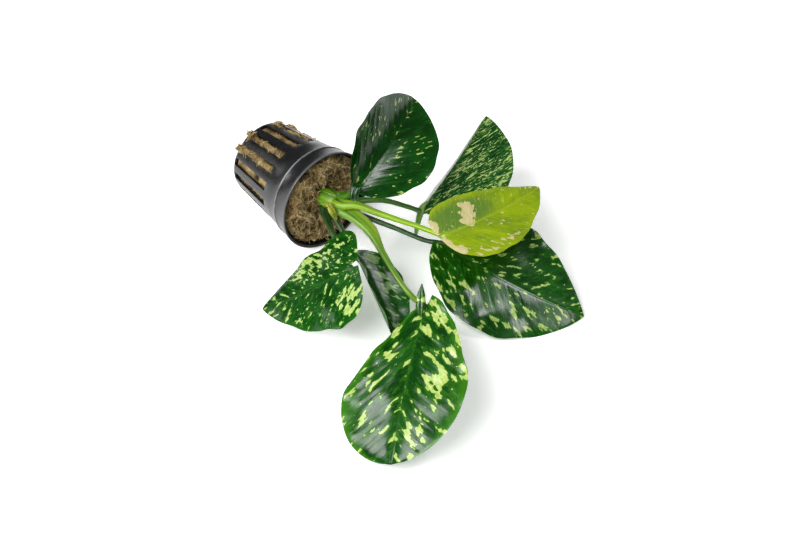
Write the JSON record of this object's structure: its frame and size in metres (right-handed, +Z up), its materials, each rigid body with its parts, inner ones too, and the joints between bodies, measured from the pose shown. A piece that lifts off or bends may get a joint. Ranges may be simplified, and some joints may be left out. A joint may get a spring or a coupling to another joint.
{
  "type": "variegated anubias in a slotted net pot of mineral wool",
  "caption": "Broad-leaved variegated aquarium plant with long stalks, growing from a plug of mineral wool in a black slotted net pot that lies on its side.",
  "frame": {"origin": "middle of the whole footprint, on the surface that the pot lies on", "axes": "+Z up; +Y away from the front leaf; the pot lies at the -X +Y corner with its mouth towards +X -Y"},
  "size_m": [0.1806, 0.2044, 0.088],
  "materials": {
    "black_plastic": "semi-gloss moulded black",
    "rock_wool": "matte tan mineral fibre",
    "stalk_green": "smooth waxy green",
    "stalk_lime": "smooth waxy yellow-green",
    "leaf_green": "glossy dark green with cream-green blotches",
    "leaf_lime": "glossy lime green with cream patches"
  },
  "bodies": {
    "root": {"net_pot": "black_plastic", "rock_wool": "rock_wool", "crown": "stalk_green", "sheath": "stalk_green", "petiole_back": "stalk_green", "petiole_far": "stalk_green", "petiole_lime": "stalk_lime", "petiole_right": "stalk_green", "petiole_front": "stalk_green", "petiole_folded": "stalk_green", "petiole_left": "stalk_green", "blade_back": "leaf_green", "blade_far": "leaf_green", "blade_lime": "leaf_lime", "blade_right": "leaf_green", "blade_front": "leaf_green", "blade_folded": "leaf_green", "blade_left": "leaf_green"}
  },
  "joints": []
}
